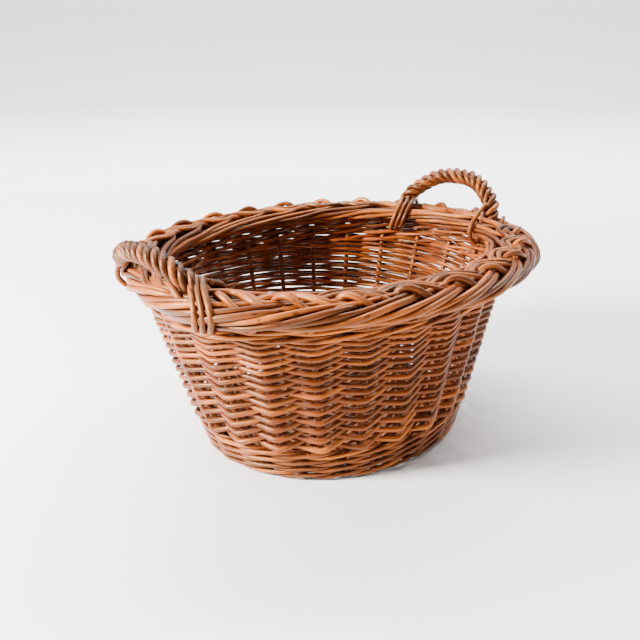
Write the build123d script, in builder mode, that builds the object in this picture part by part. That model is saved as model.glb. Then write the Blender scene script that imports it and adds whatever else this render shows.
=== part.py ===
from build123d import *
from math import acos, degrees, pi, radians, tan
import os

# An oval market basket of willow: a stick base, twenty-four side stakes, a waled foot,
# a flared side of slanted weave, a thick rolled border and a roped handle at each end.
# Millimetres. The origin is at the centre of the foot, on the surface it stands on.
# X runs along the length, Y across the width and Z up.

# --- Driving dimensions ---

# Middle surface of the woven wall, as the half axes of an oval
floor_half_length = 131.5
floor_half_width = 115.5
flare_along_length = 0.319  # outward run for each unit of height, at the ends
flare_along_width = 0.194  # the same, at the long sides

# Side stakes
stake_count = 24
stake_radius = 2.75
stake_phase = -0.1  # place of the first stake past the +X end, in stake gaps
stake_foot_length = 38.0
upset_bend_radius = 8.0

# Heights where one kind of weave ends and the next begins
wale_top = 24.0
side_top = 150.0
top_wale_top = 172.0
stake_top = 158.5  # inside the top wale, below the lashings
weave_half_thickness = 6.75

# Base
base_height = 8.5  # middle of the base sticks
base_half_thickness = 6.0
base_edge_gap = 6.0  # from the end of a stick to the edge of the base
long_stick_count = 5
long_stick_radius = 2.75
long_stick_pitch = 5.7
short_stick_count = 7
short_stick_radius = 4.2
short_stick_pitch = 10.5
slath_margin = 6.0  # straight run of a stick past the last one that crosses it
stick_bend_radius = 18.0
foot_to_stick = 9.0  # between a stake's foot and the stick it is pushed in beside

# Rolled border
border_height = 178.3  # middle of its section
border_out_from_wall = 7.0
border_half_width = 24.6
border_half_thickness = 13.2

# Roped handles: one row of sizes for each end
rope_radius = 7.8
bow_radius = 3.6
bow_foot_height = 176.0  # where the bow ends, down inside the border
rope_foot_height = 184.0
bend_share = 0.45  # of the shorter run beside a corner that its bend takes up
# "end" is the side of X, and "foot_x" and "top_x" say how far the arch leans outward.
handle_sizes = {
    "left": {"end": -1, "middle_y": 8.0, "half_span": 57.0, "foot_x": 182.0, "top_x": 200.0, "top": 210.0},
    "right": {"end": 1, "middle_y": 7.0, "half_span": 60.0, "foot_x": 179.0, "top_x": 206.0, "top": 226.0},
}

# Lashings that tie each foot of a handle over the border: loops at each foot
lash_radius = 2.2
lash_pitch = 4.8
lash_slack = 0.45  # between a loop and the border
lash_mouth = 3.0  # degrees: half of the gap that a loop leaves, inside the rope
lash_loops = {"left_near": 3, "left_far": 1, "right_near": 1, "right_far": 3}

# Clearances
channel_gap = 0.1  # round a rod that passes through a woven piece
end_gap = 0.5  # between the end of a rod and what it points at
cutter_overshoot = 3.0

os.makedirs("parts", exist_ok=True)


# --- Shapes that repeat ---


def wall_half_axes(height, outward=0.0):
    """Half length and half width of the wall's oval at a height, moved outward."""
    half_length = floor_half_length + flare_along_length * height + outward
    half_width = floor_half_width + flare_along_width * height + outward
    return half_length, half_width


def wall_oval(height, outward=0.0):
    half_length, half_width = wall_half_axes(height, outward)
    return Edge.make_ellipse(half_length, half_width, Plane.XY.offset(height))


def stake_point(index, height):
    """The middle of a stake at a height. Stakes share the oval's length out evenly."""
    return wall_oval(height).position_at(((index + stake_phase) / stake_count) % 1)


def rod(points, bends, radius):
    """A round rod along straight runs that are joined by arcs, as its builder."""
    with BuildPart() as bent_rod:
        with BuildLine() as route:
            FilletPolyline(*points, radius=bends)
        centre_line = route.wire()
        with BuildSketch(Plane(origin=centre_line @ 0, z_dir=centre_line % 0)):
            Circle(radius)
        sweep(path=centre_line)
    return bent_rod


def woven_band(bottom, top, inner=-weave_half_thickness, outer=weave_half_thickness):
    """A flared oval band of the wall between two heights."""
    with BuildPart() as band:
        for height in (bottom, top):
            with BuildSketch(Plane.XY.offset(height)):
                Ellipse(*wall_half_axes(height, outer))
        loft(ruled=True)
        for height in (bottom, top):
            with BuildSketch(Plane.XY.offset(height)):
                Ellipse(*wall_half_axes(height, inner))
        loft(ruled=True, mode=Mode.SUBTRACT)
    return band.part


# --- Base sticks: their middles lie crossed in the slath and their ends fan out ---


def stick_end(index):
    """Where the line of the stick beside a stake meets the wall."""
    stake = stake_point(index, base_height)
    along_wall = (stake_point(index + 1, base_height) - stake_point(index - 1, base_height)).normalized()
    return stake + along_wall * foot_to_stick


def stick_route(knee, index):
    """The knee where a stick leaves the slath, and its end near the edge of the base."""
    run = stick_end(index) - knee
    return [knee, knee + run.normalized() * (run.length - weave_half_thickness - base_edge_gap)]


def stick_points(near_knee, near_index, far_knee, far_index):
    """A stick from one end of its run to the other, through its two knees."""
    return stick_route(near_knee, near_index)[::-1] + stick_route(far_knee, far_index)


long_offsets = [place - (long_stick_count - 1) / 2 for place in range(long_stick_count)]
short_offsets = [place - (short_stick_count - 1) / 2 for place in range(short_stick_count)]
slath_half_length = short_offsets[-1] * short_stick_pitch + short_stick_radius + slath_margin
slath_half_width = long_offsets[-1] * long_stick_pitch + long_stick_radius + slath_margin

# The short sticks are pierced, and the long sticks are pushed through their slots.
slot_length = 2 * short_stick_radius + 2 * cutter_overshoot
slot_width = 2 * (long_offsets[-1] * long_stick_pitch + long_stick_radius + channel_gap)
slot_height = 2 * (long_stick_radius + channel_gap)

quarter = stake_count // 4
knees = {}
base_sticks = []
for number, offset in enumerate(long_offsets, start=1):
    side = offset * long_stick_pitch
    right_knee = Vector(slath_half_length, side, base_height)
    left_knee = Vector(-slath_half_length, side, base_height)
    right_index = int(offset)
    left_index = 2 * quarter - int(offset)
    knees[right_index % stake_count] = right_knee
    knees[left_index % stake_count] = left_knee
    long_stick = rod(
        stick_points(left_knee, left_index, right_knee, right_index), stick_bend_radius, long_stick_radius
    )
    long_stick.part.label = f"base_long_stick_{number}"
    export_step(long_stick.part, f"parts/{long_stick.part.label}.step")
    base_sticks.append(long_stick.part)

for number, offset in enumerate(short_offsets, start=1):
    along = offset * short_stick_pitch
    back_knee = Vector(along, slath_half_width, base_height)
    front_knee = Vector(along, -slath_half_width, base_height)
    back_index = quarter - int(offset)
    front_index = 3 * quarter + int(offset)
    knees[back_index % stake_count] = back_knee
    knees[front_index % stake_count] = front_knee
    whole_stick = rod(
        stick_points(front_knee, front_index, back_knee, back_index), stick_bend_radius, short_stick_radius
    )
    with BuildPart() as short_stick:
        add(whole_stick.part)
        with Locations((along, 0, base_height)):
            Box(slot_length, slot_width, slot_height, mode=Mode.SUBTRACT)
    short_stick.part.label = f"base_short_stick_{number}"
    export_step(short_stick.part, f"parts/{short_stick.part.label}.step")
    base_sticks.append(whole_stick.part)


# --- Side stakes: pushed in beside a stick, upset at the edge, then up the wall ---


def stake_points(index, top):
    """The inner end of a stake's foot, its upset corner and its top."""
    corner = stake_point(index, base_height)
    inward = (knees[index % stake_count] - stick_end(index)).normalized()
    return [corner + inward * stake_foot_length, corner, stake_point(index, top)]


stake_channels = []
for index in range(stake_count):
    side_stake = rod(stake_points(index, stake_top), upset_bend_radius, stake_radius)
    side_stake.part.label = f"side_stake_{index + 1:02d}"
    export_step(side_stake.part, f"parts/{side_stake.part.label}.step")
    channel_points = stake_points(index, stake_top + end_gap)
    stake_channels.append(rod(channel_points, upset_bend_radius, stake_radius + channel_gap).part)


# --- Woven pieces of the base and the wall, with a channel for each rod inside them ---

with BuildPart() as base_weave:
    for height in (base_height - base_half_thickness, base_height + base_half_thickness):
        with BuildSketch(Plane.XY.offset(height)):
            Ellipse(*wall_half_axes(height, -weave_half_thickness))
    loft(ruled=True)
    add(base_sticks + stake_channels, mode=Mode.SUBTRACT)
base_weave.part.label = "base_weave"
export_step(base_weave.part, "parts/base_weave.step")

with BuildPart() as upsett_wale:
    add(woven_band(0, wale_top))
    add(stake_channels, mode=Mode.SUBTRACT)
upsett_wale.part.label = "upsett_wale"
export_step(upsett_wale.part, "parts/upsett_wale.step")

with BuildPart() as side_weave:
    add(woven_band(wale_top, side_top))
    add(stake_channels, mode=Mode.SUBTRACT)
side_weave.part.label = "side_weave"
export_step(side_weave.part, "parts/side_weave.step")


# --- Border ---

border_half_length, border_half_breadth = wall_half_axes(border_height, border_out_from_wall)
border_line = Edge.make_ellipse(border_half_length, border_half_breadth, Plane.XY.offset(border_height))

with BuildPart() as plain_border:
    with BuildSketch(Plane(origin=border_line @ 0, x_dir=(1, 0, 0), z_dir=border_line % 0)):
        Ellipse(border_half_width, border_half_thickness)
    sweep(path=border_line)


# --- Handles ---


def arch_point(sizes, side, height):
    """A point in the plane of a leaning arch. Its feet are at sides -1 and 1."""
    lean = (sizes["top_x"] - sizes["foot_x"]) / (sizes["top"] - rope_foot_height)
    outward = sizes["foot_x"] + lean * (height - rope_foot_height)
    return Vector(sizes["end"] * outward, sizes["middle_y"] + side * sizes["half_span"], height)


def arch_points(sizes, foot_height):
    """A bow from foot to foot: the corners that an octagon would have round its arch."""
    corner = tan(pi / 8)
    shoulder = rope_foot_height + corner * (sizes["top"] - rope_foot_height)
    profile = [
        (-1, foot_height),
        (-1, shoulder),
        (-corner, sizes["top"]),
        (corner, sizes["top"]),
        (1, shoulder),
        (1, foot_height),
    ]
    return [arch_point(sizes, side, height) for side, height in profile]


def arch_bends(sizes):
    """Bend radii as large as the shorter run beside each corner allows."""
    points = arch_points(sizes, rope_foot_height)
    bends = []
    for before, corner, after in zip(points, points[1:], points[2:]):
        turn = radians((corner - before).get_angle(after - corner))
        shorter_run = min((corner - before).length, (after - corner).length)
        bends.append(bend_share * shorter_run / tan(turn / 2))
    return bends


def lash_loop(sizes, side, along_border, radius):
    """A turn of a lashing round the border, past a foot by a distance, open where the rope stands."""
    half_width = border_half_width + lash_radius + lash_slack
    half_thickness = border_half_thickness + lash_radius + lash_slack
    foot = arch_point(sizes, side, border_height + half_thickness)
    _, nearest, _ = border_line.distance_to_with_closest_points(Vertex(foot.X, foot.Y, border_height))
    place = (border_line.param_at_point(nearest) + along_border / border_line.length) % 1
    tangent = border_line % place
    inward = Vector(0, 0, 1).cross(tangent)
    foot_inward = (foot - border_line @ place).dot(inward)
    mouth = degrees(acos(foot_inward / half_width))
    with BuildPart() as loop:
        turn = Edge.make_ellipse(
            half_width,
            half_thickness,
            Plane(origin=border_line @ place, x_dir=inward, z_dir=tangent),
            start_angle=mouth + lash_mouth,
            end_angle=mouth - lash_mouth,
        )
        with BuildSketch(Plane(origin=turn @ 0, z_dir=turn % 0)):
            Circle(radius)
        sweep(path=turn)
    return loop.part


bow_channels = []
loop_channels = []
for name, sizes in handle_sizes.items():
    bends = arch_bends(sizes)
    handle_bow = rod(arch_points(sizes, bow_foot_height), bends, bow_radius)
    handle_bow.part.label = f"{name}_handle_bow"
    export_step(handle_bow.part, f"parts/{handle_bow.part.label}.step")
    bow_channel = rod(arch_points(sizes, bow_foot_height - end_gap), bends, bow_radius + channel_gap)
    bow_channels.append(bow_channel.part)

    whole_rope = rod(arch_points(sizes, bow_foot_height), bends, rope_radius)
    with BuildPart() as handle_rope:
        add(whole_rope.part)
        add(bow_channel.part, mode=Mode.SUBTRACT)
        add(plain_border.part, mode=Mode.SUBTRACT)
    handle_rope.part.label = f"{name}_handle_rope"
    export_step(handle_rope.part, f"parts/{handle_rope.part.label}.step")

    for foot_name, side in {"near": -1, "far": 1}.items():
        loop_count = lash_loops[f"{name}_{foot_name}"]
        places = [(place - (loop_count - 1) / 2) * lash_pitch for place in range(loop_count)]
        loop_channels += [lash_loop(sizes, side, place, lash_radius + channel_gap) for place in places]
        with BuildPart() as lashing:
            add([lash_loop(sizes, side, place, lash_radius) for place in places])
            add(whole_rope.part, mode=Mode.SUBTRACT)
        lashing.part.label = f"{name}_{foot_name}_lashing"
        export_step(lashing.part, f"parts/{lashing.part.label}.step")


# --- Top wale and border, cut for what passes through them ---

with BuildPart() as top_wale:
    add(woven_band(side_top, top_wale_top))
    add(stake_channels, mode=Mode.SUBTRACT)
    add(loop_channels, mode=Mode.SUBTRACT)
top_wale.part.label = "top_wale"
export_step(top_wale.part, "parts/top_wale.step")

with BuildPart() as border:
    add(plain_border.part)
    add(woven_band(side_top, top_wale_top), mode=Mode.SUBTRACT)
    add(bow_channels, mode=Mode.SUBTRACT)
border.part.label = "border"
export_step(border.part, "parts/border.step")
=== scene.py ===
from math import cos, pi, radians, sin

import bpy
import numpy as np
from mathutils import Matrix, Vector


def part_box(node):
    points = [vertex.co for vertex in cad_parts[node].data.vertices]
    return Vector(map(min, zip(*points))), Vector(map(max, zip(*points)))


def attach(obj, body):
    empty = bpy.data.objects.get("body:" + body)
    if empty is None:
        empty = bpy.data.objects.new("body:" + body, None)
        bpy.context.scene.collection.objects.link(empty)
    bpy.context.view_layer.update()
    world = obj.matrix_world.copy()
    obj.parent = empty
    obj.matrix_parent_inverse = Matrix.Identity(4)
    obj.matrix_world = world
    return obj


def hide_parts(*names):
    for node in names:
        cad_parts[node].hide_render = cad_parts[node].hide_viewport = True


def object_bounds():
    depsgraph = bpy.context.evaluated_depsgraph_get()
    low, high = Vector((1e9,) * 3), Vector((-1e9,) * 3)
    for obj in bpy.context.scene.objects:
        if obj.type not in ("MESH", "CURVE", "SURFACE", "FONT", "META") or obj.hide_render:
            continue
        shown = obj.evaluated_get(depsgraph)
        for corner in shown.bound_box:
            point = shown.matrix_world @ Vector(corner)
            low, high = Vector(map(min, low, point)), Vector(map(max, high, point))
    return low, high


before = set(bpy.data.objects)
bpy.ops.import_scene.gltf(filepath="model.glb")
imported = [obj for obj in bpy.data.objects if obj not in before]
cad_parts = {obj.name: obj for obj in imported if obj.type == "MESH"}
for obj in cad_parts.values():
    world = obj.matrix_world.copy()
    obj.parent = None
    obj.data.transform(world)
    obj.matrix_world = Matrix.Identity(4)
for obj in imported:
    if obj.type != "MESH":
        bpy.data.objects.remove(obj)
cad_low, cad_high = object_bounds()

# An oval willow basket, woven rod by rod round the sticks and stakes of the frame.
# Metres, in the frame's own axes. Places along a wall or a border are counted in stake
# gaps: stake number n stands at place n, and places grow anticlockwise from above.

MM = 0.001
random = np.random.default_rng(24)

# --- Sizes shared with the frame ---

WALL_HALF_THICKNESS = 6.75 * MM
STAKE_RADIUS = 2.75 * MM
LONG_STICK_RADIUS = 2.75 * MM
SHORT_STICK_RADIUS = 4.2 * MM
STAKE_PHASE = -0.1  # place of the first stake past the +X end, in stake gaps
BORDER_HALF_WIDTH = 24.6 * MM
BOW_RADIUS = 3.6 * MM
ROPE_FOOT_HEIGHT = 184 * MM

stake_count = sum(name.startswith("side_stake_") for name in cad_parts)
upsett_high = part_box("upsett_wale")[1]
side_low, side_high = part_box("side_weave")
top_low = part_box("top_wale")[0]
border_low, border_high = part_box("border")
stick_low, stick_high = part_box("base_long_stick_3")
stake_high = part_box("side_stake_01")[1]
base_height = (stick_low.z + stick_high.z) / 2
border_height = (border_low.z + border_high.z) / 2
border_half_thickness = (border_high.z - border_low.z) / 2
border_axes = (border_high.x - BORDER_HALF_WIDTH, border_high.y - BORDER_HALF_WIDTH)


# --- Ovals ---


def wall_axes(height):
    """Half length and half width of the middle surface of the wall at a height."""
    climb = (height - upsett_high.z) / (side_high.z - upsett_high.z)
    half_length = upsett_high.x + (side_high.x - upsett_high.x) * climb
    half_width = upsett_high.y + (side_high.y - upsett_high.y) * climb
    return half_length - WALL_HALF_THICKNESS, half_width - WALL_HALF_THICKNESS


def oval(places, axes, samples=1440):
    """Points of a level oval at places in stake gaps, and the outward directions there."""
    turn = np.linspace(0, 2 * pi, samples + 1)
    steps = np.hypot(np.diff(axes[0] * np.cos(turn)), np.diff(axes[1] * np.sin(turn)))
    length = np.concatenate([[0], np.cumsum(steps)])
    share = ((np.asarray(places) + STAKE_PHASE) / stake_count) % 1
    angle = np.interp(share, length / length[-1], turn)
    level = np.zeros_like(angle)
    points = np.stack([axes[0] * np.cos(angle), axes[1] * np.sin(angle), level], axis=-1)
    outward = np.stack([np.cos(angle) / axes[0], np.sin(angle) / axes[1], level], axis=-1)
    return points, outward / np.linalg.norm(outward, axis=-1, keepdims=True)


def wall_route(places, heights, outward):
    """Points beside the wall's middle surface, moved outward from it."""
    foot, foot_out = oval(places, wall_axes(base_height))
    top, top_out = oval(places, wall_axes(side_high.z))
    climb = ((heights - base_height) / (side_high.z - base_height))[:, None]
    away = foot_out + (top_out - foot_out) * climb
    points = foot + (top - foot) * climb + away * outward[:, None]
    points[:, 2] = heights
    return points


# --- Rods ---


def even_route(points, step):
    """The same polyline with points an even step apart."""
    length = np.concatenate([[0], np.cumsum(np.linalg.norm(np.diff(points, axis=0), axis=1))])
    along = np.linspace(0, length[-1], max(3, int(round(length[-1] / step)) + 1))
    return np.stack([np.interp(along, length, points[:, axis]) for axis in range(3)], axis=1)


def soften(points, step, reach, passes=2):
    """Rounds the corners of a polyline, evening it out and averaging over a reach each side."""
    points = even_route(points, step)
    width = max(1, int(round(reach / step)))
    kernel = np.ones(2 * width + 1) / (2 * width + 1)
    for _ in range(passes):
        start = 2 * points[0] - points[width:0:-1]
        end = 2 * points[-1] - points[-2 : -width - 2 : -1]
        padded = np.concatenate([start, points, end])
        points = np.stack([np.convolve(padded[:, axis], kernel, "valid") for axis in range(3)], axis=1)
    return points


def gentle_noise(count, wavelength, size):
    """A smooth random wander of count values, with a wavelength in values."""
    knots = random.normal(0, size, int(count / wavelength) + 3)
    place = np.arange(count) / wavelength
    left = np.floor(place).astype(int)
    blend = 0.5 - 0.5 * np.cos((place - left) * pi)
    return knots[left] * (1 - blend) + knots[left + 1] * blend


class Bundle:
    """Rods gathered into one mesh, with what their material needs to know at each point:
    grain is the place in the straightened rod, tone tells rods apart, tuck is 1 where a rod
    runs deep in the weave and sets how much shade is painted on it there, and cut is 1 on a cut end."""

    def __init__(self, sides=8):
        self.sides = sides
        self.points, self.faces, self.smooth = [], [], []
        self.grain, self.tone, self.tuck, self.cut = [], [], [], []
        self.count = 0

    def add_points(self, points, grain, tone, tuck, cut):
        self.points.append(points)
        self.grain.append(grain)
        self.tone.append(np.full(len(points), tone))
        self.tuck.append(tuck)
        self.cut.append(np.full(len(points), cut))
        first = self.count
        self.count += len(points)
        return first

    def add(self, route, butt, tip, tuck=None, knobbly=0.05, twist=0.0):
        """A rod along a route, with its radius falling from butt to tip. Its fibres turn round
        it by the twist, in radians a metre."""
        count, sides = len(route), self.sides
        tangents = np.gradient(route, axis=0)
        tangents /= np.linalg.norm(tangents, axis=1, keepdims=True)
        across = np.cross(tangents[0], (0.31, 0.17, 0.93))
        normals = np.empty_like(route)
        for index, tangent in enumerate(tangents):
            across = across - tangent * across.dot(tangent)
            across = across / np.linalg.norm(across)
            normals[index] = across
        side_ways = np.cross(tangents, normals)
        along = np.concatenate([[0], np.cumsum(np.linalg.norm(np.diff(route, axis=0), axis=1))])
        radius = butt + (tip - butt) * along / along[-1]
        radius = radius * (1 + gentle_noise(count, 9, knobbly))
        angle = np.arange(sides) * 2 * pi / sides
        spokes = normals[:, None] * np.cos(angle)[:, None] + side_ways[:, None] * np.sin(angle)[:, None]
        skin = route[:, None] + spokes * radius[:, None, None]
        tone = random.random()
        shift = random.random()
        grain = np.empty((count, sides, 3))
        fibre = angle + along[:, None] * twist
        grain[..., 0] = np.cos(fibre) * radius[:, None]
        grain[..., 1] = np.sin(fibre) * radius[:, None]
        grain[..., 2] = (along + shift)[:, None]
        tuck = np.zeros(count) if tuck is None else tuck
        first = self.add_points(
            skin.reshape(-1, 3), grain.reshape(-1, 3), tone, np.repeat(tuck, sides), 0.0
        )
        ring = np.arange(sides)
        following = (ring + 1) % sides
        rows = first + np.arange(count - 1)[:, None] * sides
        corners = [rows + ring, rows + following, rows + following + sides, rows + ring + sides]
        self.faces += np.stack(corners, axis=-1).reshape(-1, 4).tolist()
        self.smooth += [True] * (count - 1) * sides
        for end, order in ((0, -1), (count - 1, 1)):
            cap = self.add_points(skin[end], grain[end], tone, np.full(sides, tuck[end]), 1.0)
            self.faces.append([cap + corner for corner in range(sides)][::order])
            self.smooth.append(False)

    def piece(self, name, material, slot, *replaced):
        """The bundle as an object that stands for CAD nodes."""
        mesh = bpy.data.meshes.new(name)
        mesh.from_pydata(np.concatenate(self.points).tolist(), [], self.faces)
        mesh.polygons.foreach_set("use_smooth", self.smooth)
        grain = mesh.attributes.new("grain", "FLOAT_VECTOR", "POINT")
        grain.data.foreach_set("vector", np.concatenate(self.grain).ravel())
        for label, values in (("tone", self.tone), ("tuck", self.tuck), ("cut", self.cut)):
            attribute = mesh.attributes.new(label, "FLOAT", "POINT")
            attribute.data.foreach_set("value", np.concatenate(values))
        mesh.materials.append(material)
        thing = bpy.data.objects.new(name, mesh)
        bpy.context.scene.collection.objects.link(thing)
        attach(thing, "root")
        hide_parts(*replaced)
        return thing


# --- Materials ---


def linear(red, green, blue):
    """A display colour, 0 to 255 a channel, as a linear colour."""
    return tuple((((value / 255) + 0.055) / 1.055) ** 2.4 for value in (red, green, blue)) + (1.0,)


def willow(name, pale, middle, deep, gathered=True):
    """Buff willow: each rod has its own tone, streaks along it, small dark marks and a satin
    skin. Painted shade darkens it in the crevices, and on gathered rods where they run deep in
    the weave. A gathered piece reads its rods' own attributes, and a single rod its own place."""
    material = bpy.data.materials.new(name)
    material.use_nodes = True
    nodes, links = material.node_tree.nodes, material.node_tree.links
    shader = nodes["Principled BSDF"]

    def node(kind, **settings):
        made = nodes.new(kind)
        for key, value in settings.items():
            setattr(made, key, value)
        return made

    def attribute(label):
        return node("ShaderNodeAttribute", attribute_name=label)

    def scaled(source, scale):
        mapping = node("ShaderNodeMapping")
        mapping.inputs["Scale"].default_value = scale
        links.new(source, mapping.inputs["Vector"])
        return mapping.outputs["Vector"]

    def noise(source, scale, detail, roughness=0.55):
        texture = node("ShaderNodeTexNoise")
        texture.inputs["Scale"].default_value = 1.0
        texture.inputs["Detail"].default_value = detail
        texture.inputs["Roughness"].default_value = roughness
        links.new(scaled(source, scale), texture.inputs["Vector"])
        return texture.outputs["Fac"]

    def ramp(source, *stops):
        made = node("ShaderNodeValToRGB")
        while len(made.color_ramp.elements) < len(stops):
            made.color_ramp.elements.new(0.5)
        for element, (position, colour) in zip(made.color_ramp.elements, stops):
            element.position = position
            element.color = colour
        links.new(source, made.inputs["Fac"])
        return made.outputs["Color"]

    def calculate(operation, first, second):
        made = node("ShaderNodeMath", operation=operation)
        for socket, value in zip(made.inputs, (first, second)):
            if isinstance(value, float):
                socket.default_value = value
            else:
                links.new(value, socket)
        return made.outputs["Value"]

    def mix(kind, amount, first, second):
        made = node("ShaderNodeMix", data_type="RGBA", blend_type=kind)
        sockets = made.inputs["Factor"], made.inputs[6], made.inputs[7]  # 6 and 7 are the colours A and B
        for socket, value in zip(sockets, (amount, first, second)):
            if isinstance(value, (float, tuple)):
                socket.default_value = value
            else:
                links.new(value, socket)
        return made.outputs[2]

    if gathered:
        grain = attribute("grain").outputs["Vector"]
        tone = attribute("tone").outputs["Fac"]
    else:
        grain = node("ShaderNodeTexCoord").outputs["Object"]
        tone = noise(grain, (14, 14, 3), 1.0)

    black, white = (0, 0, 0, 1), (1, 1, 1, 1)
    blotches = noise(grain, (90, 90, 22), 3.0)
    streaks = noise(grain, (900, 900, 26), 5.0, 0.62)
    shade = calculate("ADD", calculate("MULTIPLY", tone, 0.48), calculate("MULTIPLY", blotches, 0.64))
    colour = ramp(shade, (0.18, deep), (0.52, middle), (0.86, pale))
    streak_colour = ramp(streaks, (0.38, (0.34, 0.22, 0.14, 1)), (0.56, white))
    colour = mix("MULTIPLY", 0.85, colour, streak_colour)
    marks = noise(grain, (420, 420, 150), 2.0, 0.4)
    mark_colour = ramp(marks, (0.30, (0.20, 0.11, 0.06, 1)), (0.365, white))
    colour = mix("MULTIPLY", 0.85, colour, mark_colour)
    if gathered:
        # Painted shade: where a rod runs deep in the weave, its colour is darkened towards brown.
        tuck_shade = calculate("MULTIPLY", attribute("tuck").outputs["Fac"], 0.85)
        colour = mix("MULTIPLY", tuck_shade, colour, (0.50, 0.30, 0.20, 1))
        cut = calculate("MULTIPLY", attribute("cut").outputs["Fac"], 0.7)
        colour = mix("MIX", cut, colour, linear(178, 122, 72))
    # Painted shade: the colour is darkened in crevices, by how closely other rods hem each point in.
    crevices = node("ShaderNodeAmbientOcclusion", samples=6)
    crevices.inputs["Distance"].default_value = 11 * MM
    shadow = ramp(crevices.outputs["AO"], (0.16, (0.16, 0.075, 0.04, 1)), (0.64, white))
    colour = mix("MULTIPLY", 0.72, colour, shadow)
    links.new(colour, shader.inputs["Base Color"])

    roughness = node("ShaderNodeMapRange")
    roughness.inputs["To Min"].default_value = 0.26
    roughness.inputs["To Max"].default_value = 0.46
    links.new(blotches, roughness.inputs["Value"])
    links.new(roughness.outputs["Result"], shader.inputs["Roughness"])
    shader.inputs["Specular IOR Level"].default_value = 0.5
    shader.inputs["Specular Tint"].default_value = (1.0, 0.60, 0.32, 1.0)

    bump = node("ShaderNodeBump")
    bump.inputs["Strength"].default_value = 0.6
    bump.inputs["Distance"].default_value = 0.0005
    mark_height = calculate("MULTIPLY", ramp(marks, (0.28, black), (0.34, white)), 0.6)
    links.new(calculate("ADD", streaks, mark_height), bump.inputs["Height"])
    links.new(bump.outputs["Normal"], shader.inputs["Normal"])
    return material


wall_willow = willow("wall_willow", linear(202, 112, 40), linear(136, 70, 28), linear(80, 35, 12))
border_willow = willow("border_willow", linear(182, 98, 36), linear(116, 58, 23), linear(66, 28, 10))
handle_willow = willow("handle_willow", linear(168, 92, 34), linear(106, 53, 21), linear(60, 26, 9))
stick_willow = willow(
    "stick_willow", linear(172, 92, 40), linear(122, 64, 30), linear(72, 32, 14), gathered=False
)


# --- Side: slanted weave, one rod started at each stake ---

STROKES = 15  # times a rod passes in front of a stake
CROWDING = 0.364  # the rounds come closer together as the rods get thinner
BEHIND_RISE = 1.18  # height behind the next stake, in rounds
SIDE_BUTT, SIDE_TIP = 2.6 * MM, 1.8 * MM
SWING = 1.5  # outward distances are drawn larger, because rounding takes some away
SIDE_ROUNDING = 2.45 * MM
PLACE_SLACK = 0.02  # in gaps
HEIGHT_SLACK = 0.05  # in rounds
TUCK_DEPTH = 5 * MM  # behind the wall's middle, where the shade painted on a rod is at its darkest
ROUTE_STEP = 0.1  # in gaps
first_stroke = side_low.z + 12.2 * MM
last_stroke = side_high.z - 0.8 * MM


def stroke_height(stroke):
    """Height of the middle of a stroke in front of its stake."""
    climb = stroke / (STROKES - 1)
    return first_stroke + (last_stroke - first_stroke) * climb * (1 + CROWDING * (1 - climb))


def side_stations(start):
    """Places, heights and outward distances of a side rod at the stakes that it passes."""
    places, heights, outward = [], [], []
    for stroke in range(-1, STROKES):
        round_height = stroke_height(stroke + 1) - stroke_height(stroke)
        radius = SIDE_BUTT + (SIDE_TIP - SIDE_BUTT) * max(stroke, 0) / STROKES
        clearance = STAKE_RADIUS + radius
        slack = HEIGHT_SLACK * round_height
        if stroke >= 0:
            places.append(start + 2 * stroke + random.normal(0, PLACE_SLACK))
            heights.append(stroke_height(stroke) + random.normal(0, slack))
            outward.append(clearance)
        places.append(start + 2 * stroke + 1 + random.normal(0, PLACE_SLACK))
        behind_height = stroke_height(stroke) + BEHIND_RISE * round_height
        heights.append(behind_height + random.normal(0, slack))
        outward.append(-clearance)
    return np.array(places), np.array(heights), np.array(outward)


def side_weave():
    bundle = Bundle()
    first_round = stroke_height(1) - stroke_height(0)
    for start in range(stake_count):
        places, heights, outward = side_stations(start)
        # The butt is in the middle of the wall, half a gap before the first stake it passes behind.
        steps = np.arange(start - 1.5, places[-1] - 0.45, ROUTE_STEP)
        places = np.concatenate([[start - 2.0], places])
        heights = np.concatenate([[heights[0] - 0.9 * first_round], heights])
        outward = np.concatenate([[-outward[0]], outward])
        distances = np.interp(steps, places, outward)
        route = wall_route(steps, np.interp(steps, places, heights), SWING * distances)
        route = soften(route, SIDE_ROUNDING, SIDE_ROUNDING, passes=1)
        share, route_share = np.linspace(0, 1, len(steps)), np.linspace(0, 1, len(route))
        # The tuck sets how much shade is painted on the rod: most behind the stakes, none in front.
        tuck = 0.5 - 0.5 * np.interp(route_share, share, distances) / TUCK_DEPTH
        bundle.add(route, SIDE_BUTT, SIDE_TIP, tuck=np.clip(tuck, 0, 1))
    return bundle.piece("side_weave_rods", wall_willow, "wall_willow", "side_weave")


# --- Wales: three rods, each in front of two stakes and behind one ---

WALE_OVERLAP = 0.45  # gaps that a wale's rods run on past a full turn, at each end


def wale(name, first_height, rounds, radius, node):
    bundle = Bundle()
    round_height = 4 * radius
    clearance = STAKE_RADIUS + radius
    for number in range(rounds):
        for weaver in range(3):
            steps = np.arange(-WALE_OVERLAP, stake_count + WALE_OVERLAP, ROUTE_STEP)
            phase = 2 * pi * steps / 3
            heights = first_height + number * round_height - 1.2 * radius * np.sin(phase)
            # This wave is -1 at one stake in three, and 1 at the two stakes between.
            wave = 1 / 3 - 1.075 * np.cos(phase) - 0.258 * np.cos(2 * phase)
            outward = clearance * wave
            # The tuck sets the shade painted on the rod, full where it passes behind a stake.
            tuck = np.clip(0.5 - wave / 2, 0, 1)
            heights = heights + gentle_noise(len(steps), 14, 0.12 * radius)
            route = wall_route(steps + weaver + number, heights, outward)
            bundle.add(route, 1.04 * radius, 0.96 * radius, tuck=tuck)
    return bundle.piece(name, wall_willow, "wall_willow", node)


# --- Base: rods woven over and under the fanned sticks ---

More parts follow.
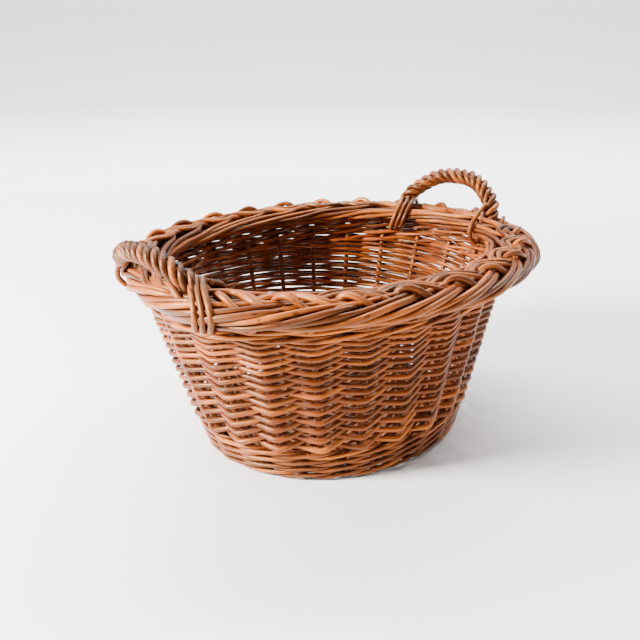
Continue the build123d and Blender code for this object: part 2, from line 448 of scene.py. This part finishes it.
LONG_STICK_SPACING = 5.7 * MM
SHORT_STICK_SPACING = 10.5 * MM
SLATH_MARGIN = 6 * MM  # from the last crossing to where the sticks fan out
BASE_ROUNDS = 26
BASE_WEAVER_RADIUS = 1.6 * MM
BASE_FIRST, BASE_SPREAD = 0.02, 0.9  # first round and all rounds, as shares of the way out
BASE_PLACE_SHIFT = 0.14  # gaps from a stake to the stick beside it


def stick_knees():
    """Where each stick leaves the slath, and its radius, in the order of the stakes."""
    slath_width = 2 * LONG_STICK_SPACING + LONG_STICK_RADIUS + SLATH_MARGIN
    slath_length = 3 * SHORT_STICK_SPACING + SHORT_STICK_RADIUS + SLATH_MARGIN
    quarter = stake_count // 4
    knees, radii = {}, {}

    def leave(index, point, radius):
        knees[index % stake_count] = point
        radii[index % stake_count] = radius

    for offset in range(-2, 3):
        side = offset * LONG_STICK_SPACING
        leave(offset, (slath_length, side), LONG_STICK_RADIUS)
        leave(2 * quarter - offset, (-slath_length, side), LONG_STICK_RADIUS)
    for offset in range(-3, 4):
        along = offset * SHORT_STICK_SPACING
        leave(quarter - offset, (along, slath_width), SHORT_STICK_RADIUS)
        leave(3 * quarter + offset, (along, -slath_width), SHORT_STICK_RADIUS)
    order = range(stake_count)
    return np.array([knees[index] for index in order]), np.array([radii[index] for index in order])


def base_weave():
    bundle = Bundle()
    knees, stick_radii = stick_knees()
    ends, outs = oval(np.arange(stake_count) + BASE_PLACE_SHIFT, wall_axes(base_height))
    for number in range(BASE_ROUNDS):
        share = BASE_FIRST + BASE_SPREAD * number / (BASE_ROUNDS - 1)
        corners = knees + (ends[:, :2] - outs[:, :2] * MM - knees) * share
        over = np.where((np.arange(stake_count) + number) % 2, 1, -1)
        heights = base_height + over * (stick_radii + BASE_WEAVER_RADIUS)
        knots = np.column_stack([corners, heights])
        # A smooth curve through the knots, round once and a little further.
        places = np.arange(0, stake_count + 0.3, 0.125)
        left = np.floor(places).astype(int)
        part = (places - left)[:, None]
        before, here, following, after = (knots[(left + step) % stake_count] for step in range(-1, 3))
        route = 0.5 * (
            2 * here
            + (following - before) * part
            + (2 * before - 5 * here + 4 * following - after) * part**2
            + (3 * here - before - 3 * following + after) * part**3
        )
        swing = np.tanh(1.6 * np.cos(pi * part[:, 0])) / np.tanh(1.6)
        middle, half_rise = (here + following)[:, 2] / 2, (here - following)[:, 2] / 2
        route[:, 2] = middle + half_rise * swing
        bundle.add(route, 1.05 * BASE_WEAVER_RADIUS, 0.95 * BASE_WEAVER_RADIUS)
    return bundle.piece("base_weave_rods", wall_willow, "wall_willow", "base_weave")


# --- Border: every stake's end is laid down to the right and plaited along the rim ---

ROD_INSET = 2.3 * MM  # from the border's skin to the middle of a rod
STRAND_PERIOD = 5  # gaps from one knuckle that a strand passes under to its next
LANE = 5.2 * MM  # between rods that lie side by side in a strand
KNUCKLE_LEAD = 0.5  # gaps from a stake to its knuckle
STRAND_START, STRAND_END = 1.9, 15.3  # gaps along a rod, between its knuckle and its tail
LAST_CYCLE = 3
LAST_CYCLE_DEPTH = 0.74  # the last pass runs under the newer rods
BORDER_BUTT, BORDER_TIP = 3.0 * MM, 2.0 * MM
BORDER_ROUNDING = 2.6 * MM
BORDER_STEP = 0.04  # in gaps
LANES_FROM, LANES_WHOLE = 1.7, 2.1  # gaps along a rod where it starts to take up its lane, and has
SMOOTH_REACH = 6  # steps each side that a strand's direction is averaged over
WANDER_LENGTH = 22  # in steps
WANDER_OUT, WANDER_UP = 0.75 * MM, 0.6 * MM
CORE_RADIUS = 2.8 * MM
PULL = 15 * MM  # how far the left handle draws the border's outer side in
PULL_PLACE = 11.0  # the middle of the stretch that is drawn in, in gaps
PULL_REACH = 2.0  # gaps from there to where the pull has faded to about a third

# One period of a strand: gaps past the knuckle that it passes under, the angle round the
# border's section (0 faces outward and 90 up) and the depth, 1 at the skin.
strand_stations = [
    (-2.1, -42, 0.92),
    (-1.75, -24, 0.97),
    (-1.4, -6, 1.0),
    (-1.05, 11, 1.0),
    (-0.65, 29, 1.0),
    (-0.3, 44, 1.0),
    (0.0, 54, 0.85),
    (0.2, 62, 0.62),
    (0.4, 68, 0.52),
    (0.6, 76, 0.68),
    (0.85, 92, 1.0),
    (1.2, 105, 1.0),
    (1.35, 96, 1.0),
    (1.5, 77, 1.0),
    (1.65, 60, 0.95),
    (1.8, 44, 0.75),
    (2.05, 20, 0.6),
    (2.3, -25, 0.6),
    (2.55, -60, 0.9),
]

# From a stake's top to where its rod joins a strand: gaps, outward and up from the middle of
# the border's section, in millimetres.
knuckle_stations = [
    (0.74, -4.0, -8.0),
    (0.9, 0.0, 3.0),
    (0.97, 3.6, 11.4),
    (1.07, 7.2, 14.0),
    (1.18, 10.8, 13.2),
    (1.29, 13.4, 10.2),
    (1.4, 15.0, 6.2),
    (1.53, 15.6, 2.6),
    (1.7, 15.5, 0.6),
    (1.87, 15.5, -1.0),
]

# The end of a rod, which goes over the top and along the inner side: gaps, angle and depth.
tail_stations = [
    (15.5, 80, 0.8),
    (15.85, 105, 0.9),
    (16.2, 132, 1.0),
    (17.2, 148, 1.0),
    (18.2, 167, 1.0),
    (19.2, 188, 0.97),
    (19.6, 200, 0.8),
]

# The lane that a rod takes among the three of its strand: gaps along the rod and lane.
lane_stations = [
    (0, -1),
    (5.1, -1),
    (5.5, 0),
    (10.1, 0),
    (10.5, 1),
    (12, 1),
    (12.5, 0.5),
    (15.1, 1),
    (15.6, 0),
]

# Rings that fill the border's core, outward and up in its section, in millimetres.
core_places = [
    (-16, -2),
    (-9, -1),
    (-11, -7),
    (-4, -7),
    (-2, 0),
    (4, -7.5),
    (5, -1.5),
    (11, -5),
    (16, -1),
]


def section_axes():
    """Half width and half thickness of the oval that the middles of the skin's rods lie on."""
    return BORDER_HALF_WIDTH - ROD_INSET, border_half_thickness - ROD_INSET


def section_point(angle, depth):
    """Outward and upward distance of a place in the border's section."""
    half_width, half_thickness = section_axes()
    return half_width * depth * cos(radians(angle)), half_thickness * depth * sin(radians(angle))


def border_gap():
    """Length of a stake gap along the border's middle line."""
    return pi * (border_axes[0] + border_axes[1]) / stake_count


def border_route(places, outward, upward):
    """Points beside the border's middle line. The handle draws the border's left end in."""
    line, out = oval(places, border_axes)
    # The inner side of the section isn't drawn in, and the outer side is drawn in fully.
    share = np.clip((outward / BORDER_HALF_WIDTH + 0.4) / 1.2, 0, 1)
    nearness = np.exp(-((((places % stake_count) - PULL_PLACE) / PULL_REACH) ** 2))
    points = line + out * (outward - PULL * share * nearness)[:, None]
    points[:, 2] = border_height + upward
    return points


def border_rod_stations():
    """Gaps along a border rod, and its outward and upward distances in the section."""
    stations = [(1.0 - KNUCKLE_LEAD, -7 * MM, stake_high.z - border_height - 1.0 * MM)]
    stations += [(at, outward * MM, upward * MM) for at, outward, upward in knuckle_stations]
    for cycle in range(LAST_CYCLE + 1):
        for at, angle, depth in strand_stations:
            place = at + STRAND_PERIOD * cycle
            if STRAND_START < place < STRAND_END:
                if cycle == LAST_CYCLE and at < -0.2:
                    depth = LAST_CYCLE_DEPTH * depth
                stations.append((place, *section_point(angle, depth)))
    stations += [(place, *section_point(angle, depth)) for place, angle, depth in tail_stations]
    return np.array(stations)


def lane_shift(steps, outward, upward):
    """How far a rod is moved along, outward and up, so that its strand's lanes lie side by side
    on the skin, square to the way that the strand runs."""
    lane = np.interp(steps, *np.array(lane_stations).T)
    lane = lane * np.clip((steps - LANES_FROM) / (LANES_WHOLE - LANES_FROM), 0, 1)
    kernel = np.ones(2 * SMOOTH_REACH + 1) / (2 * SMOOTH_REACH + 1)
    smooth_out = np.convolve(np.pad(outward, SMOOTH_REACH, "edge"), kernel, "valid")
    smooth_up = np.convolve(np.pad(upward, SMOOTH_REACH, "edge"), kernel, "valid")
    forward = np.gradient(steps) * border_gap()
    run = np.stack([forward, np.gradient(smooth_out), np.gradient(smooth_up)], axis=1)
    run /= np.linalg.norm(run, axis=1, keepdims=True)
    half_width, half_thickness = section_axes()
    skin_out, skin_up = smooth_out / half_width**2, smooth_up / half_thickness**2
    skin = np.stack([np.zeros_like(steps), skin_out, skin_up], axis=1)
    skin /= np.linalg.norm(skin, axis=1, keepdims=True) + 1e-9
    # The axes here are along, outward and up, which turn the other way from X, Y and Z.
    return -np.cross(skin, run) * (lane * LANE)[:, None]


def border():
    bundle = Bundle()
    stations = border_rod_stations()
    steps = np.arange(stations[0, 0], stations[-1, 0], BORDER_STEP)
    outward = np.interp(steps, stations[:, 0], stations[:, 1])
    upward = np.interp(steps, stations[:, 0], stations[:, 2])
    shift = lane_shift(steps, outward, upward)
    for stake in range(stake_count):
        wander_out = gentle_noise(len(steps), WANDER_LENGTH, WANDER_OUT)
        wander_up = gentle_noise(len(steps), WANDER_LENGTH, WANDER_UP)
        places = stake + KNUCKLE_LEAD - 1 + steps + shift[:, 0] / border_gap()
        route = border_route(places, outward + shift[:, 1] + wander_out, upward + shift[:, 2] + wander_up)
        route = soften(route, BORDER_ROUNDING, BORDER_ROUNDING, passes=2)
        bundle.add(route, BORDER_BUTT, BORDER_TIP, knobbly=0.09)
    steps = np.arange(0, stake_count + 0.4, ROUTE_STEP)
    level = np.ones_like(steps)
    for outward, upward in core_places:
        # Each ring starts at a place of its own, so that their joints don't line up.
        route = border_route(steps + outward, level * outward * MM, level * upward * MM)
        # The core rings get the full painted shade of a rod deep in the weave.
        bundle.add(route, CORE_RADIUS, CORE_RADIUS, tuck=level)
    return bundle.piece("border_rods", border_willow, "border_willow", "border")


# --- Handles: rods twisted round a bow, and lashed over the border at its feet ---

STRANDS = 4
strand_radii = {"left": 2.6 * MM, "right": 2.85 * MM}
twist_pitches = {"left": 36 * MM, "right": 42 * MM}
LASH_RADIUS = 2.45 * MM
FIBRE_TWIST = 2 * pi / (26 * MM)

# Each lashing's way round the border, in millimetres outward, upward and along from the middle
# of the border's section at the handle's foot.
lash_stations = {
    "left_near": [
        (0, 22, -8), (6, 20, -5), (13, 15, 0), (21, 8, 6), (26, 0, 10), (26.5, -5, 10),
        (23, -12, 7), (12, -17, 3), (0, -18, 1), (-14, -16, -1), (-25, -8, -2), (-27.5, 2, -3),
        (-22, 12, -4), (-10, 16, -6),
    ],
    "left_far": [
        (6, 22, 14), (16, 19, 9), (27, 10, 3), (31, 0, -1), (28, -9, -3), (18, -15, -3),
        (4, -17, -2),
    ],
    "right_near": [
        (-2, 26, 9), (-8, 23, 6), (-16, 18, 1), (-24, 11, -4), (-28.5, 3, -6), (-28.5, -3, -7),
        (-26, -9, -7), (-20, -14, -7),
    ],
    "right_far": [
        (2, 19, -9), (-8, 17.5, -10), (-18, 13, -9), (-26, 4, -6), (-28, -3, -3), (-25, -10, 0),
        (-18, -15, 2), (-6, -18, 2), (10, -17, 0), (22, -11, -3), (27.5, 0, -5), (24, 9, -7),
        (14, 15, -8), (6, 18, -9),
    ],
}
lash_pitches = {"left_near": 6.0, "left_far": 0, "right_near": 0, "right_far": 7.2}  # in mm
lash_loops = {"left_near": 3, "left_far": 1, "right_near": 1, "right_far": 3}


def bow_line(side):
    """The middle line of a handle's bow: eight-sided corners, rounded off, from the near foot."""
    low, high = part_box(f"{side}_handle_bow")
    end = 1 if low.x > 0 else -1
    foot_x, top_x = sorted([abs(low.x), abs(high.x)])
    foot_x, top_x = foot_x + BOW_RADIUS, top_x - BOW_RADIUS
    middle_y = (low.y + high.y) / 2
    half_span = (high.y - low.y) / 2 - BOW_RADIUS
    top, foot = high.z - BOW_RADIUS, low.z
    corner = np.tan(pi / 8)
    shoulder = ROPE_FOOT_HEIGHT + corner * (top - ROPE_FOOT_HEIGHT)
    profile = [(-1, foot), (-1, shoulder), (-corner, top), (corner, top), (1, shoulder), (1, foot)]
    points = []
    for across, height in profile:
        lean = foot_x + (top_x - foot_x) * (height - foot) / (top - foot)
        points.append((end * lean, middle_y + across * half_span, height))
    points = np.array(points)
    line = [points[0]]
    for before, bend, after in zip(points, points[1:], points[2:]):
        reach = 0.45 * min(np.linalg.norm(bend - before), np.linalg.norm(after - bend))
        start = bend + (before - bend) / np.linalg.norm(before - bend) * reach
        finish = bend + (after - bend) / np.linalg.norm(after - bend) * reach
        for part in np.linspace(0, 1, 9):
            line.append(start * (1 - part) ** 2 + bend * 2 * part * (1 - part) + finish * part**2)
    line.append(points[-1])
    return even_route(np.array(line), 1.6 * MM)


def twisted(line, strand, radius, pitch, strands):
    """A right-handed strand round a line."""
    tangents = np.gradient(line, axis=0)
    tangents /= np.linalg.norm(tangents, axis=1, keepdims=True)
    flat_normal = np.cross(line[0] - line[-1], tangents[0])
    flat_normal /= np.linalg.norm(flat_normal)
    second = np.cross(tangents, flat_normal)
    along = np.concatenate([[0], np.cumsum(np.linalg.norm(np.diff(line, axis=0), axis=1))])
    turn = (2 * pi * (along / pitch + strand / strands))[:, None]
    return line + radius * (flat_normal * np.cos(turn) + second * np.sin(turn))


def handle_rope(side):
    bundle = Bundle(sides=10)
    line = bow_line(side)
    radius = strand_radii[side]
    for strand in range(STRANDS):
        route = twisted(line, strand, BOW_RADIUS + 0.92 * radius, twist_pitches[side], STRANDS)
        bundle.add(route, 1.05 * radius, radius, twist=FIBRE_TWIST)
    name = f"{side}_handle_rope"
    return bundle.piece(f"{name}_strands", handle_willow, "handle_willow", name)


def lashing(side, foot):
    bundle = Bundle(sides=10)
    which = f"{side}_{foot}"
    foot_point = bow_line(side)[0 if foot == "near" else -1]
    places = np.arange(0, stake_count, 0.005)
    rim, _ = oval(places, border_axes)
    nearest = np.argmin(np.linalg.norm(rim[:, :2] - foot_point[:2], axis=1))
    outward, upward, along = np.array(lash_stations[which], dtype=float).T * MM
    for loop in range(lash_loops[which]):
        beside = (loop - (lash_loops[which] - 1) / 2) * lash_pitches[which] * MM
        route = border_route(places[nearest] + (along + beside) / border_gap(), outward, upward)
        route = soften(route, 2 * MM, 5 * MM, passes=2)
        bundle.add(route, LASH_RADIUS, LASH_RADIUS, twist=FIBRE_TWIST)
    name = f"{which}_lashing"
    return bundle.piece(f"{name}_loops", handle_willow, "handle_willow", name)


def dress_sticks():
    """Gives the CAD's own sticks, stakes and bows their willow."""
    for name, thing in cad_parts.items():
        if name.startswith(("base_long_stick", "base_short_stick", "side_stake")) or name.endswith("bow"):
            thing.data.materials.clear()
            thing.data.materials.append(stick_willow)


side_weave()
wale("upsett_wale_rods", 5.0 * MM, 4, 1.9 * MM, "upsett_wale")
wale("top_wale_rods", top_low.z + 0.6 * MM, 3, 1.95 * MM, "top_wale")
base_weave()
border()
for side in ("left", "right"):
    handle_rope(side)
    for foot in ("near", "far"):
        lashing(side, foot)
dress_sticks()


# --- Studio: a pale floor, a ring wall, soft light from the left, and the camera ---

# Distances are in lengths of the basket, and azimuths in degrees from -Y towards +X.
length = cad_high.x - cad_low.x
FLOOR_REACH = 40
WALL_DISTANCE = 4.6
WALL_HEIGHT = 2.0
WALL_SIDES = 96
COVE_RADIUS = 1.1  # of the bend that joins the floor to the wall
COVE_STEPS = 10
FADE_HEIGHT = 0.45  # up to which the wall darkens from the floor's shade to its own
FLOOR_SHADE, WALL_SHADE = 0.90, 0.38
CAMERA_AZIMUTH, CAMERA_ELEVATION = -43.83, 21.23
CAMERA_DISTANCE = 1.6269
CAMERA_AIM_HEIGHT = 0.22
SENSOR_WIDTH = 36  # in mm
FOCAL_LENGTH = 39.49875  # in mm
CAMERA_SHIFT = (-0.0214, 0.0117)


def direction(azimuth, elevation):
    """The way from the basket to something at an azimuth and elevation in degrees."""
    azimuth, elevation = radians(azimuth), radians(elevation)
    level = cos(elevation)
    return Vector((sin(azimuth) * level, -cos(azimuth) * level, sin(elevation)))


def place_thing(name, data, location, aim):
    """Puts a lamp or camera at a location, pointing along the aim."""
    thing = bpy.data.objects.new(name, data)
    thing.location = location
    thing.rotation_mode = "QUATERNION"
    thing.rotation_quaternion = aim.to_track_quat("-Z", "Y")
    bpy.context.scene.collection.objects.link(thing)
    return thing


def backdrop(name, points, faces, material, smooth):
    """A piece of the studio that is no part of the basket."""
    mesh = bpy.data.meshes.new(name)
    mesh.from_pydata(points, [], faces)
    mesh.polygons.foreach_set("use_smooth", [smooth] * len(faces))
    mesh.materials.append(material)
    thing = bpy.data.objects.new(name, mesh)
    bpy.context.scene.collection.objects.link(thing)


def paper(name):
    material = bpy.data.materials.new(name)
    material.use_nodes = True
    shader = material.node_tree.nodes["Principled BSDF"]
    shader.inputs["Roughness"].default_value = 0.6
    return material, shader


def floor_paper():
    material, shader = paper("floor_paper")
    shader.inputs["Base Color"].default_value = (FLOOR_SHADE, FLOOR_SHADE, 0.905, 1)
    return material


def wall_card():
    """Matches the floor at the foot of the wall and is darker above."""
    material, shader = paper("wall_card")
    nodes, links = material.node_tree.nodes, material.node_tree.links
    place = nodes.new("ShaderNodeTexCoord")
    split = nodes.new("ShaderNodeSeparateXYZ")
    fade = nodes.new("ShaderNodeMapRange")
    fade.inputs["From Max"].default_value = FADE_HEIGHT * length
    fade.inputs["To Min"].default_value = FLOOR_SHADE
    fade.inputs["To Max"].default_value = WALL_SHADE
    links.new(place.outputs["Object"], split.inputs["Vector"])
    links.new(split.outputs["Z"], fade.inputs["Value"])
    links.new(fade.outputs["Result"], shader.inputs["Base Color"])
    return material


def floor():
    reach = FLOOR_REACH * length
    corners = [(-reach, -reach, 0), (reach, -reach, 0), (reach, reach, 0), (-reach, reach, 0)]
    backdrop("floor", corners, [(0, 1, 2, 3)], floor_paper(), False)


def back_wall():
    turn = np.linspace(0, 2 * pi, WALL_SIDES, endpoint=False)
    bend = np.linspace(0, pi / 2, COVE_STEPS)
    reaches = np.append(WALL_DISTANCE - COVE_RADIUS * (1 - np.sin(bend)), WALL_DISTANCE)
    rises = np.append(COVE_RADIUS * (1 - np.cos(bend)), WALL_HEIGHT)
    rings = []
    for reach, rise in zip(reaches, rises):
        rings.append(np.stack([np.cos(turn) * reach, np.sin(turn) * reach, np.full_like(turn, rise)], axis=1))
    panels = []
    for row in range(COVE_STEPS):
        for number in range(WALL_SIDES):
            left = row * WALL_SIDES + number
            right = row * WALL_SIDES + (number + 1) % WALL_SIDES
            panels.append((left, left + WALL_SIDES, right + WALL_SIDES, right))
    backdrop("back_wall", (np.concatenate(rings) * length).tolist(), panels, wall_card(), True)


def surroundings():
    world = bpy.data.worlds.new("studio")
    world.use_nodes = True
    background = world.node_tree.nodes["Background"]
    background.inputs["Color"].default_value = (0.93, 0.96, 1.0, 1)
    background.inputs["Strength"].default_value = 0.1
    bpy.context.scene.world = world


def lamp(name, azimuth, elevation, distance, size, power, colour):
    """A round lamp that points at the middle of the basket's foot."""
    light = bpy.data.lights.new(name, "AREA")
    light.shape = "DISK"
    light.size = size * length
    light.energy = power
    light.color = colour
    back = direction(azimuth, elevation)
    place_thing(name, light, back * distance * length, -back)


def wall_wash():
    """A wide lamp above that points away from the basket, at the wall behind it."""
    light = bpy.data.lights.new("wall_wash", "AREA")
    light.shape = "RECTANGLE"
    light.size, light.size_y = 10 * length, 1.5 * length
    light.energy = 390
    away = -direction(CAMERA_AZIMUTH, 0) * WALL_DISTANCE * length
    location = away * 0.62 + Vector((0, 0, 5.5 * length))
    place_thing("wall_wash", light, location, away + Vector((0, 0, 1.1 * length)) - location)


def camera():
    data = bpy.data.cameras.new("camera")
    data.sensor_width = SENSOR_WIDTH
    data.lens = FOCAL_LENGTH
    data.shift_x, data.shift_y = CAMERA_SHIFT
    back = direction(CAMERA_AZIMUTH, CAMERA_ELEVATION)
    location = Vector((0, 0, CAMERA_AIM_HEIGHT * length)) + back * (CAMERA_DISTANCE * length)
    bpy.context.scene.camera = place_thing("camera", data, location, -back)


floor()
back_wall()
surroundings()
lamp("key", -112, 31, 4.0, 1.1, 176, (1.0, 0.97, 0.92))
lamp("fill", -40, 60, 5.0, 4.0, 1, (1.0, 0.99, 0.98))
wall_wash()
camera()
